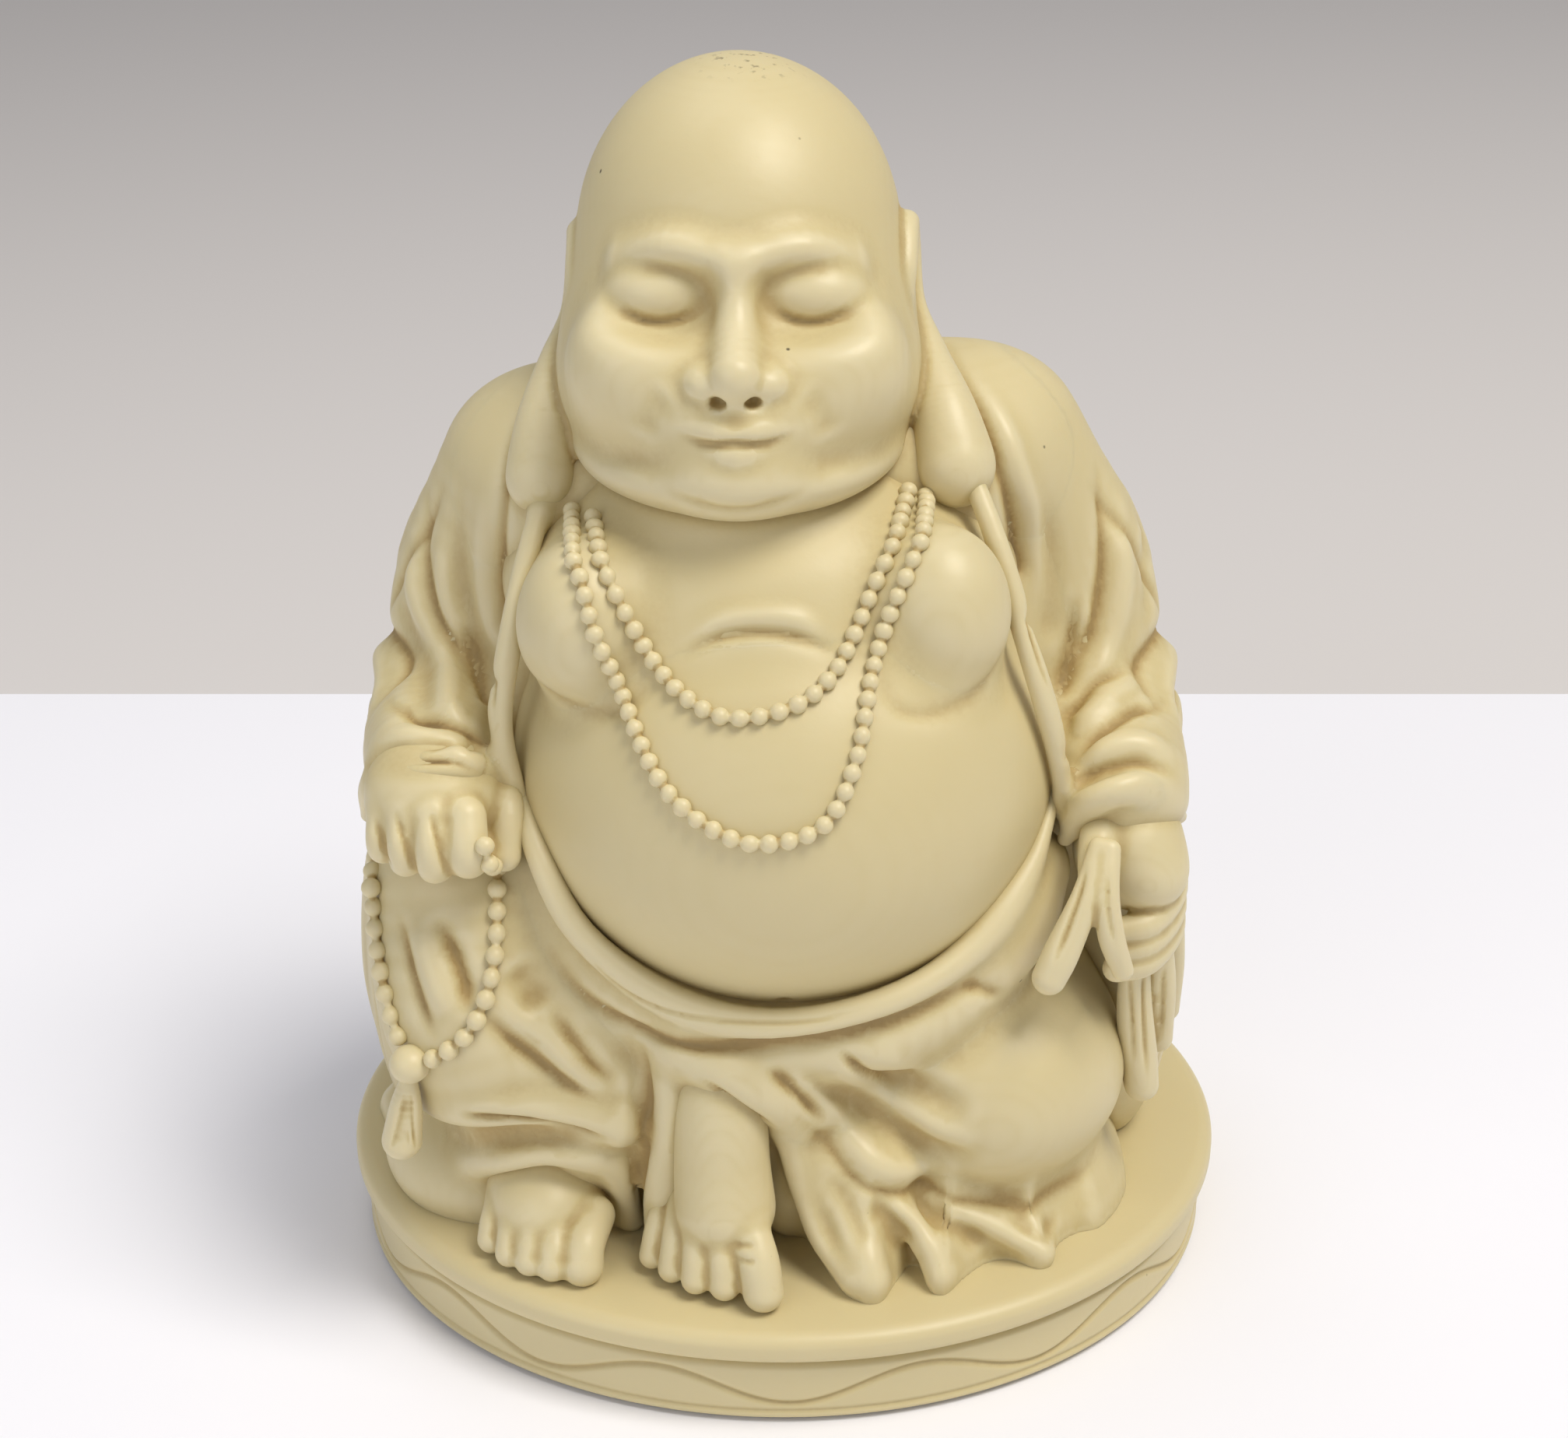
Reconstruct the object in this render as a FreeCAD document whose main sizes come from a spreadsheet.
"""A seated laughing-Buddha figure of cast ivory resin on an oval plinth, in millimetres.

The figure faces -Y, +Z is up, and the origin is the middle of the felt pad's underside. Every mass
of the figure (a knee, a sleeve, the belly) is a solid of its own, cut where it meets the next one.
"""
import FreeCAD, Part
import Sketcher
import math
import os
from FreeCAD import Placement, Rotation, Vector

os.makedirs("parts", exist_ok=True)
doc = FreeCAD.newDocument("seated_figure")

# ---------------------------------------------------------------- driving dimensions
DRIVING = {
    "plinth_width": 140.0,
    "plinth_depth": 128.0,
    "felt_thick": 0.8,
    "felt_inset": 3.0,
    "drum_top": 11.0,
    "drum_inset": 1.5,
    "rim_top": 16.0,
    "rim_round": 1.8,
    "bead_radius": 1.15,
    "rosary_bead_radius": 1.45,
    "guru_radius": 3.0,
    "toe_radius": 2.1,
    "big_toe_radius": 2.9,
    "palm_radius": 9.0,
    "finger_radius": 2.5,
    "cloth_fold_radius": 2.6,
    "tassel_top_radius": 1.4,
    "tassel_foot_radius": 3.2,
    "tassel_length": 12.0,
    "lapel_radius": 2.6,
    "band_radius": 3.2,
    "band_ring": 41.1,
    "cuff_radius": 2.4,
    "cuff_ring": 10.5,
}

# Each mass: centre x, y, z and half sizes along x, y, z.
MASSES = {
    "cranium": (-6.4, 3.0, 158.0, 23.4, 27.0, 26.5),
    "cheeks": (-6.4, -7.0, 141.0, 25.6, 27.0, 17.5),
    "jowl": (-6.4, -10.0, 133.0, 23.5, 26.5, 8.5),
    "face": (-6.4, -15.5, 149.0, 18.0, 17.0, 22.0),
    "neck": (-6.4, -4.0, 126.0, 21.5, 25.0, 9.0),
    "belly": (0.0, -14.0, 84.0, 40.5, 41.0, 36.0),
    "ribs": (-3.5, -6.0, 111.0, 38.0, 33.0, 22.0),
    "breast_right": (-27.5, -29.0, 112.0, 9.5, 10.5, 12.0),
    "breast_left": (21.5, -29.0, 113.5, 9.8, 10.5, 12.5),
    "shin_right": (-40.0, -33.0, 45.0, 17.5, 14.0, 31.0),
    "thigh_right": (-43.0, -10.0, 54.0, 18.5, 32.0, 23.0),
    "knee_left": (31.0, -22.0, 37.5, 22.0, 21.5, 17.5),
    "thigh_left": (37.0, 2.0, 41.0, 24.0, 36.0, 24.0),
    "lap": (0.0, -19.0, 42.0, 27.0, 28.0, 20.0),
    "foot_right_body": (-35.5, -38.0, 21.5, 9.4, 12.0, 8.0),
    "foot_left_body": (-8.0, -47.5, 34.0, 7.6, 7.5, 17.0),
    "foot_left_heel": (-11.0, -45.0, 50.0, 9.5, 7.0, 8.5),
    "foot_left_instep": (-16.0, -44.5, 31.0, 5.0, 7.0, 15.0),
    "upper_arm_right": (-50.0, 6.0, 100.0, 14.5, 17.0, 30.0),
    "forearm_right": (-54.5, -8.0, 81.0, 12.5, 23.0, 16.0),
    "fall_right": (-58.0, 0.0, 44.0, 9.5, 22.0, 34.0),
    "upper_arm_left": (44.0, 6.0, 104.0, 15.0, 17.0, 33.0),
    "forearm_left": (52.0, -6.0, 80.0, 12.0, 20.0, 17.0),
    "fall_left": (57.0, 0.0, 44.0, 8.5, 20.0, 36.0),
    "hem_right_skirt": (-44.0, -26.0, 16.0, 17.0, 24.0, 15.0),
    "hem_left_skirt": (29.0, -24.0, 14.5, 30.0, 32.0, 7.5),
    "shawl_right": (-33.0, 4.0, 122.0, 16.0, 22.0, 14.0),
    "shawl_left": (25.0, 4.0, 126.0, 19.0, 22.0, 14.0),
    "cloth_tail_upper": (55.0, -27.0, 52.0, 5.6, 5.0, 18.0),
    "cloth_tail_end": (55.5, -25.5, 36.0, 4.2, 5.2, 14.0),
}

# Lofted pieces, as level ovals from the bottom up: height, middle x, middle y, half width, half depth.
LOFTS = {
    "mantle": [
        (16.0, 0.0, 8.0, 61.0, 49.0),
        (45.0, 0.0, 8.0, 61.0, 45.0),
        (75.0, -0.5, 8.0, 57.0, 40.0),
        (102.0, -2.0, 8.0, 52.0, 35.0),
        (124.0, -4.0, 7.0, 40.0, 28.0),
        (136.0, -6.0, 6.0, 22.0, 20.0),
    ],
    "ear_right": [
        (121.8, -33.6, -11.0, 1.6, 1.8),
        (126.0, -33.7, -11.0, 4.0, 4.4),
        (132.0, -33.6, -9.5, 4.0, 4.6),
        (141.0, -32.8, -4.0, 2.8, 4.4),
        (152.0, -32.0, 1.0, 2.8, 7.4),
        (163.5, -31.6, 2.0, 1.8, 3.6),
    ],
    "ear_left": [
        (124.0, 23.6, -11.6, 1.8, 2.0),
        (128.5, 23.6, -11.4, 4.6, 4.8),
        (134.0, 22.8, -10.0, 4.6, 4.8),
        (142.5, 20.8, -4.0, 3.0, 4.6),
        (153.5, 19.4, 1.0, 2.8, 7.4),
        (164.5, 19.0, 2.0, 1.8, 3.6),
    ],
}

LETTERS = "ABCDEFGH"
sheet = doc.addObject("Spreadsheet::Sheet", "Dims")


def cell(row, column, alias, value):
    """Writes a plain number into the sheet under an alias."""
    place = LETTERS[column] + str(row)
    sheet.set(place, str(value))
    sheet.setAlias(place, alias)


row = 1
for name, value in DRIVING.items():
    sheet.set("A" + str(row), name)
    cell(row, 1, name, value)
    row += 1
SUFFIXES = ("_cx", "_cy", "_cz", "_rx", "_ry", "_rz")
for name, values in MASSES.items():
    sheet.set("A" + str(row), name)
    for column, (suffix, value) in enumerate(zip(SUFFIXES, values), start=1):
        cell(row, column, name + suffix, value)
    row += 1
LOFT_SUFFIXES = ("_z", "_cx", "_cy", "_half_x", "_half_y")
for name, levels in LOFTS.items():
    for number, values in enumerate(levels):
        sheet.set("A" + str(row), f"{name}_{number}")
        for column, (suffix, value) in enumerate(zip(LOFT_SUFFIXES, values), start=1):
            cell(row, column, f"{name}_{number}{suffix}", value)
        row += 1
doc.recompute()
size = {name: float(sheet.get(name)) for name in DRIVING}
rim_top = size["rim_top"]
spans = {name: tuple(float(sheet.get(name + suffix)) for suffix in SUFFIXES) for name in MASSES}


# ---------------------------------------------------------------- helpers
def bind(item, **formulas):
    """Binds an object's properties to formulas over the sheet; a double underscore is a dot."""
    for prop, formula in formulas.items():
        item.setExpression(prop.replace("__", "."), formula)
    return item


def mass(name):
    """The ellipsoid of one row of MASSES, bound to its cells."""
    item = doc.addObject("Part::Ellipsoid", name + "_mass")
    bind(
        item,
        Radius1=f"Dims.{name}_rz",
        Radius2=f"Dims.{name}_rx",
        Radius3=f"Dims.{name}_ry",
        Placement__Base__x=f"Dims.{name}_cx",
        Placement__Base__y=f"Dims.{name}_cy",
        Placement__Base__z=f"Dims.{name}_cz",
    )
    return item


def ball(name, centre, radius_formula):
    """A sphere at a point whose radius follows the sheet."""
    item = doc.addObject("Part::Sphere", name)
    item.Placement = Placement(Vector(*centre), Rotation())
    return bind(item, Radius=radius_formula)


def rod(name, start, end, radius_formula):
    """A straight round bar between two points with a ball at its far end."""
    begin, finish = Vector(*start), Vector(*end)
    bar = doc.addObject("Part::Cylinder", name + "_bar")
    bar.Height = (finish - begin).Length
    bar.Placement = Placement(begin, Rotation(Vector(0, 0, 1), finish - begin))
    bind(bar, Radius=radius_formula)
    return [bar, ball(name + "_tip", end, radius_formula)]


def fuse(name, items):
    """One solid from several."""
    if len(items) == 1:
        return items[0]
    item = doc.addObject("Part::MultiFuse", name)
    item.Shapes = items
    item.Refine = False
    return item


def cut(name, base, *tools):
    """The base with each tool taken away in turn."""
    for number, tool in enumerate(tools):
        item = doc.addObject("Part::Cut", f"{name}_cut{number}")
        item.Base = base
        item.Tool = tool
        item.Refine = False
        base = item
    return base


def box(name, low, high):
    """A plain block between two corners, used only as a knife."""
    item = doc.addObject("Part::Box", name)
    item.Length, item.Width, item.Height = (b - a for a, b in zip(low, high))
    item.Placement = Placement(Vector(*low), Rotation())
    return item


def loft(name):
    """The solid through one entry of LOFTS, each level an ellipse bound to its cells."""
    outlines = []
    for number, (_, _, _, half_x, half_y) in enumerate(LOFTS[name]):
        outline = doc.addObject("Part::Ellipse", f"{name}_outline_{number}")
        wide, narrow = ("half_x", "half_y") if half_x >= half_y else ("half_y", "half_x")
        outline.Placement = Placement(Vector(), Rotation(0 if half_x >= half_y else 90, 0, 0))
        bind(
            outline,
            MajorRadius=f"Dims.{name}_{number}_{wide}",
            MinorRadius=f"Dims.{name}_{number}_{narrow}",
            Placement__Base__x=f"Dims.{name}_{number}_cx",
            Placement__Base__y=f"Dims.{name}_{number}_cy",
            Placement__Base__z=f"Dims.{name}_{number}_z",
        )
        outlines.append(outline)
    item = doc.addObject("Part::Loft", name + "_loft")
    item.Sections = outlines
    item.Solid = True
    return item


def label(item, node):
    """Marks an object as the finished sub-part of that name."""
    item.Label = node
    nodes.append((node, item))
    return item


nodes = []
FAR = 400.0
under_rim = box("under_rim", (-FAR, -FAR, -FAR), (FAR, FAR, rim_top))


# ---------------------------------------------------------------- plinth
def oval_body(node, inset_formula, low_formula, high_formula, round_formula=None):
    """An oval slab as a PartDesign body: a sketched ellipse, padded, with softened edges."""
    body = doc.addObject("PartDesign::Body", node)
    plane = next(f for f in body.Origin.OriginFeatures if f.Role == "XY_Plane")
    sketch = body.newObject("Sketcher::SketchObject", node + "_outline")
    sketch.AttachmentSupport = [(plane, "")]
    sketch.MapMode = "FlatFace"
    half_width, half_depth = size["plinth_width"] / 2, size["plinth_depth"] / 2
    ellipse = Part.Ellipse(Vector(half_width, 0, 0), Vector(0, half_depth, 0), Vector(0, 0, 0))
    sketch.addGeometry(ellipse, False)
    sketch.exposeInternalGeometry(0)
    major, minor = 1, 2
    sketch.addConstraint(Sketcher.Constraint("Coincident", 0, 3, -1, 1))
    sketch.addConstraint(Sketcher.Constraint("PointOnObject", major, 1, -1))
    width_at = sketch.addConstraint(Sketcher.Constraint("Distance", major, 1, major, 2, 2 * half_width))
    depth_at = sketch.addConstraint(Sketcher.Constraint("Distance", minor, 1, minor, 2, 2 * half_depth))
    sketch.setExpression(f"Constraints[{width_at}]", f"Dims.plinth_width - 2 * ({inset_formula})")
    sketch.setExpression(f"Constraints[{depth_at}]", f"Dims.plinth_depth - 2 * ({inset_formula})")
    bind(sketch, AttachmentOffset__Base__z=low_formula)
    pad = body.newObject("PartDesign::Pad", node + "_slab")
    pad.Profile = sketch
    bind(pad, Length=f"{high_formula} - ({low_formula})")
    doc.recompute()
    if round_formula:
        edge = body.newObject("PartDesign::Fillet", node + "_soft_edge")
        flat = [f"Face{n + 1}" for n, f in enumerate(pad.Shape.Faces) if f.Surface.TypeId == "Part::GeomPlane"]
        edge.Base = (pad, flat)
        bind(edge, Radius=round_formula)
        body.Tip = edge
    return body


label(oval_body("felt_pad", "Dims.felt_inset", "0", "Dims.felt_thick"), "felt_pad")
label(oval_body("plinth_drum", "Dims.drum_inset", "Dims.felt_thick", "Dims.drum_top"), "plinth_drum")
label(oval_body("plinth_rim", "0", "Dims.drum_top", "Dims.rim_top", "Dims.rim_round"), "plinth_rim")

# ---------------------------------------------------------------- head, ears, torso
head = fuse("head_all", [mass("cranium"), mass("cheeks"), mass("jowl"), mass("face")])
label(head, "head")
for side in ("right", "left"):
    label(cut(f"ear_{side}", loft(f"ear_{side}"), head), f"ear_{side}")
ears = [item for node, item in nodes if node.startswith("ear_")]

belly = label(mass("belly"), "belly")
chest_all = fuse("chest_all", [mass("ribs"), mass("breast_right"), mass("breast_left"), mass("neck")])
chest = label(cut("chest", chest_all, belly, head, *ears), "chest")

# ---------------------------------------------------------------- waistband, feet, hands
WAIST_LOW = Vector(0.0, -46.0, 56.5)
WAIST_RISE = Vector(0.0, 19.0, 32.5).normalize()


def ring(node, middle, across, rise, ring_formula, tube_formula, start, sweep):
    """Part of a torus in the plane of two directions, swept from a start angle off `across`."""
    item = doc.addObject("Part::Torus", node)
    item.Angle3 = sweep
    turned = across * math.cos(math.radians(start)) + rise * math.sin(math.radians(start))
    normal = across.cross(rise)
    item.Placement = Placement(middle, Rotation(turned, normal.cross(turned), normal, "ZXY"))
    return bind(item, Radius1=ring_formula, Radius2=tube_formula)


band_middle = WAIST_LOW + WAIST_RISE * size["band_ring"]
band = ring(
    "waist_roll", band_middle, Vector(1, 0, 0), WAIST_RISE, "Dims.band_ring", "Dims.band_radius", 184, 172
)
waistband = label(cut("waistband", band, belly, chest), "waistband")

# toes run from the ball of the foot to the tip: start, end, and the big toe is the last
RIGHT_TOES = [
    ((-42.5, -38.0, 21.0), (-43.6, -43.0, 18.4)),
    ((-39.5, -40.0, 22.0), (-40.8, -46.3, 18.5)),
    ((-36.5, -41.0, 22.5), (-37.6, -48.2, 18.6)),
    ((-33.5, -41.0, 23.0), (-34.2, -49.4, 18.8)),
    ((-30.2, -40.0, 23.0), (-29.8, -49.6, 19.3)),
]
LEFT_TOES = [
    ((-18.6, -44.0, 26.0), (-19.6, -48.0, 19.5)),
    ((-16.0, -46.0, 26.5), (-16.8, -51.0, 19.0)),
    ((-12.5, -48.0, 27.0), (-12.6, -53.2, 19.0)),
    ((-9.0, -49.0, 26.5), (-8.2, -54.0, 19.4)),
    ((-5.0, -50.5, 26.0), (-3.0, -56.0, 19.6)),
]


def toes(side, rows):
    """The five toes as rounded bars."""
    bars = []
    for number, (start, end) in enumerate(rows):
        radius = "Dims.big_toe_radius" if number == 4 else "Dims.toe_radius"
        bars += rod(f"toe_{side}_{number}", start, end, radius)
    return bars


foot_right_all = fuse("foot_right_all", [mass("foot_right_body")] + toes("right", RIGHT_TOES))
foot_right = label(cut("foot_right", foot_right_all, under_rim), "foot_right")
foot_left_masses = [mass("foot_left_" + piece) for piece in ("body", "heel", "instep")]
foot_left_all = fuse("foot_left_all", foot_left_masses + toes("left", LEFT_TOES))
foot_left = label(cut("foot_left", foot_left_all, under_rim, waistband, belly), "foot_left")

RIGHT_FINGERS = [
    ((-56.6, -34.0, 85.0), (-57.6, -39.5, 76.5)),
    ((-52.8, -37.0, 86.0), (-53.4, -42.5, 75.2)),
    ((-48.6, -38.5, 86.0), (-48.8, -43.5, 75.0)),
    ((-44.2, -38.0, 86.0), (-44.4, -43.0, 76.2)),
    ((-41.0, -30.0, 86.0), (-38.6, -37.5, 77.0)),
]
LEFT_FINGERS = [
    ((46.5, -32.5, 72.6), (56.0, -27.5, 74.4)),
    ((47.6, -32.0, 67.4), (56.4, -26.5, 69.2)),
    ((43.8, -29.0, 81.0), (42.4, -34.8, 74.0)),
]
PALMS = {"right": (-49.6, -31.0, 86.0), "left": (50.0, -25.5, 75.5)}


def hand(side, rows):
    """A round palm with its fingers and thumb as rounded bars."""
    bars = [ball(f"palm_{side}", PALMS[side], "Dims.palm_radius")]
    for number, (start, end) in enumerate(rows):
        bars += rod(f"finger_{side}_{number}", start, end, "Dims.finger_radius")
    return label(cut(f"hand_{side}", fuse(f"hand_{side}_all", bars), belly, waistband), f"hand_{side}")


hand_right = hand("right", RIGHT_FINGERS)
hand_left = hand("left", LEFT_FINGERS)

# ---------------------------------------------------------------- cloth and rosary at the hands
FOLD_NEAR = ((43.6, -37.5, 73.5), (37.6, -40.0, 62.5))
FOLD_MIDDLE = ((47.0, -37.8, 73.5), (48.6, -38.8, 59.5))
folds = rod("cloth_near", *FOLD_NEAR, "Dims.cloth_fold_radius") + rod("cloth_middle", *FOLD_MIDDLE, "Dims.cloth_fold_radius")
cloth_loops = label(cut("cloth_loops", fuse("cloth_all", folds), belly, waistband, hand_left), "cloth_loops")
cloth_tail_all = fuse("cloth_tail_all", [mass("cloth_tail_upper"), mass("cloth_tail_end")])
cloth_tail = label(cut("cloth_tail", cloth_tail_all, hand_left, cloth_loops), "cloth_tail")

# ---------------------------------------------------------------- legs and skirt
core = [belly, waistband, chest]
leg_right_all = fuse("leg_right_all", [mass("shin_right"), mass("thigh_right")])
leg_right = label(
    cut("leg_right", leg_right_all, under_rim, *core, foot_right, foot_left, hand_right), "leg_right"
)
hem_right = label(
    cut("hem_right", mass("hem_right_skirt"), under_rim, foot_right, leg_right), "hem_right"
)
knee_left_cut = cut("knee_left", mass("knee_left"), under_rim, *core, foot_left, cloth_loops, cloth_tail)
knee_left = label(knee_left_cut, "knee_left")
hem_left = label(
    cut("hem_left", mass("hem_left_skirt"), under_rim, foot_left, knee_left, cloth_tail), "hem_left"
)
thigh_left = label(
    cut("thigh_left", mass("thigh_left"), under_rim, *core, knee_left, hem_left, hand_left, cloth_loops, cloth_tail),
    "thigh_left",
)
lap_cut = cut(
    "lap", mass("lap"), under_rim, *core, foot_right, foot_left, leg_right, hem_right, knee_left, hem_left, thigh_left
)
lap = label(lap_cut, "lap")

# ---------------------------------------------------------------- robe: sleeves, cuffs, lapels, mantle
WRISTS = {
    "right": (Vector(-50.0, -25.0, 88.5), Vector(-0.1, -1.0, -0.35)),
    "left": (Vector(50.5, -19.5, 80.5), Vector(-0.05, -1.0, -0.6)),
}
cuffs = []
for side, (middle, outward) in WRISTS.items():
    normal = Vector(outward).normalize()
    across = Vector(0, 0, 1).cross(normal).normalize()
    rise = normal.cross(across)
    cuff = ring(f"cuff_{side}_ring", middle, across, rise, "Dims.cuff_ring", "Dims.cuff_radius", 0, 360)
    tools = [hand_right, leg_right] if side == "right" else [hand_left, cloth_loops, cloth_tail, thigh_left]
    cuffs.append(label(cut(f"cuff_{side}", cuff, *tools, *core, knee_left), f"cuff_{side}"))

LAPELS = {
    "right": [(-35.0, -20.5, 120.0), (-38.5, -27.0, 108.0), (-40.5, -29.0, 96.0), (-42.0, -28.0, 88.0)],
    "left": [(30.5, -20.5, 123.0), (34.5, -26.0, 110.0), (38.5, -28.0, 98.0), (41.5, -26.0, 88.0)],
}
lapels = []
for side, route in LAPELS.items():
    links = [ball(f"lapel_{side}_end", route[0], "Dims.lapel_radius")]
    for number, (start, end) in enumerate(zip(route, route[1:])):
        links += rod(f"lapel_{side}_{number}", start, end, "Dims.lapel_radius")
    hand = hand_right if side == "right" else hand_left
    tools = [*core, head, *ears, hand, *cuffs]
    lapels.append(label(cut(f"lapel_{side}", fuse(f"lapel_{side}_all", links), *tools), f"lapel_{side}"))

legs = [leg_right, hem_right, knee_left, hem_left, thigh_left, lap]
sleeves = []
for side in ("right", "left"):
    pieces = [mass(f"upper_arm_{side}"), mass(f"forearm_{side}"), mass(f"fall_{side}")]
    hand = hand_right if side == "right" else hand_left
    near_legs = [leg_right, hem_right] if side == "right" else [knee_left, hem_left, thigh_left, cloth_tail, cloth_loops]
    tools = [under_rim, *core, *ears, hand, *cuffs, *lapels, *near_legs]
    sleeves.append(label(cut(f"sleeve_{side}", fuse(f"sleeve_{side}_all", pieces), *tools), f"sleeve_{side}"))

shawls = []
for side in ("right", "left"):
    shawl_tools = [chest, belly, head, *ears, *lapels, *sleeves]
    shawls.append(label(cut(f"shoulder_{side}", mass(f"shawl_{side}"), *shawl_tools), f"shoulder_{side}"))

mantle_loft = loft("mantle")
front_knife = box("front_knife", (-FAR, -FAR, -FAR), (FAR, -2.0, FAR))
mantle_tools = [front_knife, belly, chest, head, *ears, *legs, *cuffs, *lapels, *sleeves, *shawls]
mantle = label(cut("mantle", mantle_loft, *mantle_tools), "mantle")

# ---------------------------------------------------------------- beads
GAP = 0.12
STEP = 0.05
SMOOTH_SAMPLES = 1200


def clearance(point, names):
    """The least distance from a point to the named masses, to first order."""
    least = FAR
    for name in names:
        cx, cy, cz, rx, ry, rz = spans[name]
        u = ((point.x - cx) / rx, (point.y - cy) / ry, (point.z - cz) / rz)
        level = math.sqrt(sum(a * a for a in u))
        slope = math.sqrt((u[0] / rx) ** 2 + (u[1] / ry) ** 2 + (u[2] / rz) ** 2) / level
        least = min(least, (level - 1.0) / slope)
    return least


def settle(x, z, start_y, radius, names):
    """The point over (x, z) where a bead coming from the front touches the masses."""
    point = Vector(x, start_y, z)
    while clearance(point, names) > radius + GAP:
        point.y += STEP
    return point


def strand(node, route, radius_name, names):
    """Separate beads along a route of (x, z) points, each resting on the masses behind it."""
    radius = size[radius_name]
    curve = Part.BSplineCurve()
    curve.interpolate([Vector(x, 0, z) for x, z in route])
    spots = []
    for n in range(SMOOTH_SAMPLES + 1):
        share = curve.FirstParameter + (curve.LastParameter - curve.FirstParameter) * n / SMOOTH_SAMPLES
        flat = curve.value(share)
        if spots and math.hypot(flat.x - spots[-1].x, flat.z - spots[-1].z) < radius:
            continue
        point = settle(flat.x, flat.z, -80.0, radius, names)
        if not spots or (point - spots[-1]).Length >= 2 * radius + GAP:
            spots.append(point)
    beads = [
        ball(f"{node}_bead_{n}", (spot.x, spot.y, spot.z), f"Dims.{radius_name}") for n, spot in enumerate(spots)
    ]
    group = doc.addObject("Part::Compound", node)
    group.Links = beads
    return label(group, node)


BODY = ["belly", "ribs", "breast_right", "breast_left", "neck", "cheeks", "jowl"]
LONG_STRAND = [
    (-28.2, 120.0), (-26.0, 116.0), (-24.3, 111.5), (-21.8, 105.0), (-18.8, 99.0), (-14.8, 95.0), (-8.4, 91.3),
    (-2.6, 90.3), (5.2, 92.6), (9.5, 100.0), (11.6, 108.5), (14.6, 115.5), (17.6, 121.5),
]
SHORT_STRAND = [
    (-24.6, 121.5), (-22.8, 118.6), (-19.6, 113.0), (-16.3, 108.6), (-12.2, 106.1), (-6.8, 105.0), (1.1, 106.4),
    (6.4, 109.4), (9.4, 113.6), (11.9, 118.4), (14.1, 122.6),
]
necklace_long = strand("necklace_long", LONG_STRAND, "bead_radius", BODY)
necklace_short = strand("necklace_short", SHORT_STRAND, "bead_radius", BODY)

LEG_SIDE = ["shin_right", "thigh_right", "fall_right", "forearm_right", "hem_right_skirt"]
ROSARY_INNER = [(-41.2, 71.5), (-41.0, 66.0), (-42.4, 60.0), (-45.4, 54.8), (-48.9, 51.6)]
ROSARY_OUTER = [(-56.6, 54.0), (-57.6, 60.5), (-58.6, 66.5), (-59.0, 71.0)]
rosary_inner = strand("rosary_inner", ROSARY_INNER, "rosary_bead_radius", LEG_SIDE)
rosary_outer = strand("rosary_outer", ROSARY_OUTER, "rosary_bead_radius", LEG_SIDE)
guru_spot = settle(-53.6, 49.4, -80.0, size["guru_radius"], LEG_SIDE)
guru = label(ball("guru_bead", (guru_spot.x, guru_spot.y, guru_spot.z), "Dims.guru_radius"), "guru_bead")
# the tassel hangs straight down in front of everything that it passes
hang_y = min(settle(guru_spot.x, guru_spot.z - drop, -80.0, size["tassel_foot_radius"], LEG_SIDE).y for drop in range(3, 16))
skirt = doc.addObject("Part::Cone", "tassel_skirt")
skirt.Placement = Placement(Vector(guru_spot.x, hang_y, guru_spot.z - size["tassel_length"] - 2.0), Rotation())
bind(skirt, Radius1="Dims.tassel_foot_radius", Radius2="Dims.tassel_top_radius", Height="Dims.tassel_length")
tassel = label(cut("tassel", skirt, guru), "tassel")

# ---------------------------------------------------------------- write
doc.recompute()
failed = [item.Name for item in doc.Objects if "Invalid" in item.State or "Error" in item.State]
if failed:
    raise SystemExit(f"objects failed to compute: {failed}")
# every shape is checked before the first file is written
for node, item in nodes:
    shape = item.Shape
    if shape.isNull() or not shape.isValid():
        raise SystemExit(f"{node} has no valid shape")
    if not shape.Solids:
        raise SystemExit(f"{node} holds no solid")
for node, item in nodes:
    item.Shape.exportStep(os.path.join("parts", node + ".step"))
    print(f"{node}: {len(item.Shape.Solids)} solids, {item.Shape.Volume / 1000:.1f} cm3")
